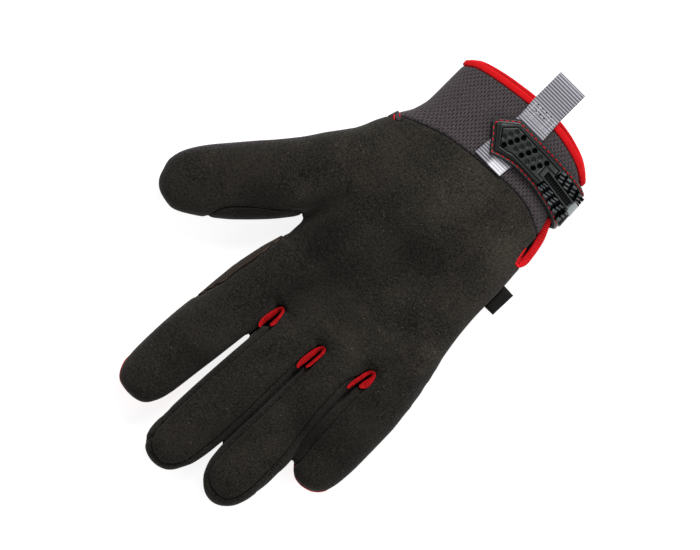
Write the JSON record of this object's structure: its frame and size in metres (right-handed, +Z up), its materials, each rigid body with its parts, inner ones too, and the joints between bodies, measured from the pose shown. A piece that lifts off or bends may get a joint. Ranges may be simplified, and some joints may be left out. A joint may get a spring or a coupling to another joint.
{
  "type": "cut-resistant utility work glove",
  "caption": "Right-hand utility glove lying palm up, with suede palm and fingers, mesh-knit cuff bound in red, moulded rubber wrist strap and a grey webbing pull loop",
  "frame": {"origin": "on the flat of the glove's back, under the middle of the palm, where it rests on a surface", "axes": "+Y from the cuff to the fingertips, +X to the thumb's side, +Z up out of the palm"},
  "size_m": [0.1619, 0.2604, 0.0347],
  "materials": {
    "suede": "synthetic suede, black brown, short matte nap",
    "back_knit": "plain knit, charcoal",
    "cuff_mesh": "air mesh knit, charcoal, with staggered slits",
    "elastic": "ribbed elastic, dark brown",
    "red_tape": "ribbed knit binding tape, red",
    "red_knit": "plain knit, red",
    "strap_rubber": "moulded thermoplastic rubber, satin black",
    "strap_backing": "sewn backing cloth, dark grey",
    "webbing": "ribbed polyester webbing, grey",
    "label_cloth": "folded satin tape, black"
  },
  "bodies": {
    "root": {"palm_panel": "suede", "back_panel": "back_knit", "fourchette_ring_pinky": "suede", "fourchette_middle_ring": "suede", "fourchette_index_middle": "suede", "thumb_gusset": "suede", "index_side_gusset": "elastic", "index_tip_back": "red_knit", "pinky_tip_back": "red_knit", "cuff": "cuff_mesh", "cuff_binding": "red_tape", "notch_binding": "red_tape", "crotch_loop_ring_pinky": "red_tape", "crotch_loop_middle_ring": "red_tape", "crotch_loop_index_middle": "red_tape", "strap_backing": "strap_backing", "strap_plate": "strap_rubber", "pull_ribbon": "webbing", "side_label": "label_cloth", "thumb_tab": "label_cloth"}
  },
  "joints": []
}
